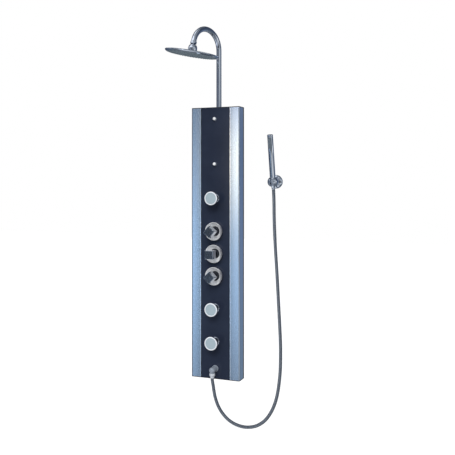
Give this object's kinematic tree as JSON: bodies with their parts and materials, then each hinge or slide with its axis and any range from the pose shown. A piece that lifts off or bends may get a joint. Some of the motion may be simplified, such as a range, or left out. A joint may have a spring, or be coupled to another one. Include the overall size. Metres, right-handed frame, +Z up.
{
  "type": "rainfall shower column",
  "caption": "Wall-hung shower panel with riser arm, tilting rain head, swivelling body jets, square-grip valves, and a stick hand shower on a hose in its own wall holder.",
  "frame": {"origin": "centre of the upper wall bracket's back face, on the wall", "axes": "+X to the right along the wall, +Y into the wall, +Z up"},
  "size_m": [0.5282, 0.3151, 1.888],
  "materials": {
    "chrome": "polished chrome plating",
    "satin_chrome": "satin chrome plating",
    "grey_plastic": "grey moulded spray face",
    "brushed_aluminium": "satin brushed along the column",
    "black_glass": "gloss black toughened glass, opaque",
    "dark_plastic": "moulded, dark grey",
    "zinc_steel": "zinc plated sheet and bar",
    "brass": "machined brass",
    "plated_pipe": "nickel plated brass and copper pipe",
    "nozzle_plastic": "pale grey moulded nozzle plate",
    "nylon": "natural nylon",
    "hose_steel": "spiral wound stainless steel hose"
  },
  "bodies": {
    "root": {"left_profile": "brushed_aluminium", "right_profile": "brushed_aluminium", "front_plate": "black_glass", "top_cap": "dark_plastic", "bottom_cap": "dark_plastic", "wall_bracket_upper": "zinc_steel", "wall_bracket_lower": "zinc_steel", "crossbar_upper": "zinc_steel", "crossbar_lower": "zinc_steel", "plate_bracket_upper": "zinc_steel", "plate_bracket_lower": "zinc_steel", "stud_upper": "satin_chrome", "stud_lower": "satin_chrome", "mixer_manifold": "brass", "hot_inlet": "plated_pipe", "cold_inlet": "plated_pipe", "riser_feed_pipe": "plated_pipe", "riser_collar": "brass", "jet_pipe_upper": "plated_pipe", "jet_pipe_lower": "plated_pipe", "outlet_elbow": "satin_chrome", "hose_nut_lower": "satin_chrome", "shower_hose": "hose_steel", "holder_base": "chrome", "holder_cradle": "chrome", "cartridge_1": "brass", "escutcheon_1": "chrome", "jet_socket_1": "chrome", "cartridge_2": "brass", "escutcheon_2": "chrome", "jet_socket_2": "chrome", "cartridge_3": "brass", "escutcheon_3": "chrome", "jet_socket_3": "chrome"},
    "arm": {"shower_arm": "chrome", "arm_ball": "chrome"},
    "head_seat": {"ball_seat": "nylon"},
    "head": {"bell_nut": "chrome", "head_shell": "chrome", "head_face": "nozzle_plastic"},
    "hose_end": {"hose_cone": "chrome"},
    "handset": {"handset_body": "chrome", "handset_face": "grey_plastic", "handset_cap": "chrome"},
    "handle_1": {"handle_1": "chrome", "spindle_1": "zinc_steel"},
    "jet_ring_1": {"jet_ring_1": "dark_plastic"},
    "jet_head_1": {"jet_head_1": "chrome", "jet_face_1": "nozzle_plastic"},
    "handle_2": {"handle_2": "chrome", "spindle_2": "zinc_steel"},
    "jet_ring_2": {"jet_ring_2": "dark_plastic"},
    "jet_head_2": {"jet_head_2": "chrome", "jet_face_2": "nozzle_plastic"},
    "handle_3": {"handle_3": "chrome", "spindle_3": "zinc_steel"},
    "jet_ring_3": {"jet_ring_3": "dark_plastic"},
    "jet_head_3": {"jet_head_3": "chrome", "jet_face_3": "nozzle_plastic"}
  },
  "joints": [
    {"name": "arm_swivel", "type": "hinge", "parent": "root", "child": "arm", "pos_m": [0, -0.015, 0.06], "axis": [0, 0, 1], "range_deg": [-21, 59]},
    {"name": "head_spin", "type": "hinge", "parent": "arm", "child": "head_seat", "pos_m": [-0.05979, -0.18864, 0.3463], "axis": [0.0677, 0.1966, 0.9781], "continuous": true},
    {"name": "head_tilt", "type": "hinge", "parent": "head_seat", "child": "head", "pos_m": [-0.05979, -0.18864, 0.3463], "axis": [0.8854, 0.44, -0.1497], "range_deg": [-29, 2]},
    {"name": "handle_1_turn", "type": "hinge", "parent": "root", "child": "handle_1", "pos_m": [0, -0.1, -0.516], "axis": [0, 1, 0], "range_deg": [-40, 50]},
    {"name": "handle_2_turn", "type": "hinge", "parent": "root", "child": "handle_2", "pos_m": [0, -0.1, -0.623], "axis": [0, 1, 0], "range_deg": [-45, 45]},
    {"name": "handle_3_turn", "type": "hinge", "parent": "root", "child": "handle_3", "pos_m": [0, -0.1, -0.7295], "axis": [0, 1, 0], "range_deg": [-45, 45]},
    {"name": "jet_1_spin", "type": "hinge", "parent": "root", "child": "jet_ring_1", "pos_m": [0, -0.08, -0.3585], "axis": [0, 1, 0], "continuous": true},
    {"name": "jet_1_tilt", "type": "hinge", "parent": "jet_ring_1", "child": "jet_head_1", "pos_m": [0, -0.08, -0.3585], "axis": [1, 0, 0], "range_deg": [-20, 20]},
    {"name": "jet_2_spin", "type": "hinge", "parent": "root", "child": "jet_ring_2", "pos_m": [0, -0.08, -0.884], "axis": [0, 1, 0], "continuous": true},
    {"name": "jet_2_tilt", "type": "hinge", "parent": "jet_ring_2", "child": "jet_head_2", "pos_m": [0, -0.08, -0.884], "axis": [1, 0, 0], "range_deg": [-20, 20]},
    {"name": "jet_3_spin", "type": "hinge", "parent": "root", "child": "jet_ring_3", "pos_m": [0, -0.08, -1.043], "axis": [0, 1, 0], "continuous": true},
    {"name": "jet_3_tilt", "type": "hinge", "parent": "jet_ring_3", "child": "jet_head_3", "pos_m": [0, -0.08, -1.043], "axis": [1, 0, 0], "range_deg": [-20, 20]},
    {"name": "handset_lift", "type": "slide", "parent": "root", "child": "hose_end", "axis": [0, -0.2028, 0.9792], "range_m": [0, 0.09], "deforming": ["shower_hose"]},
    {"name": "handset_turn", "type": "hinge", "parent": "hose_end", "child": "handset", "pos_m": [0.286, -0.051, -0.28], "axis": [0, -0.2028, 0.9792], "continuous": true}
  ]
}
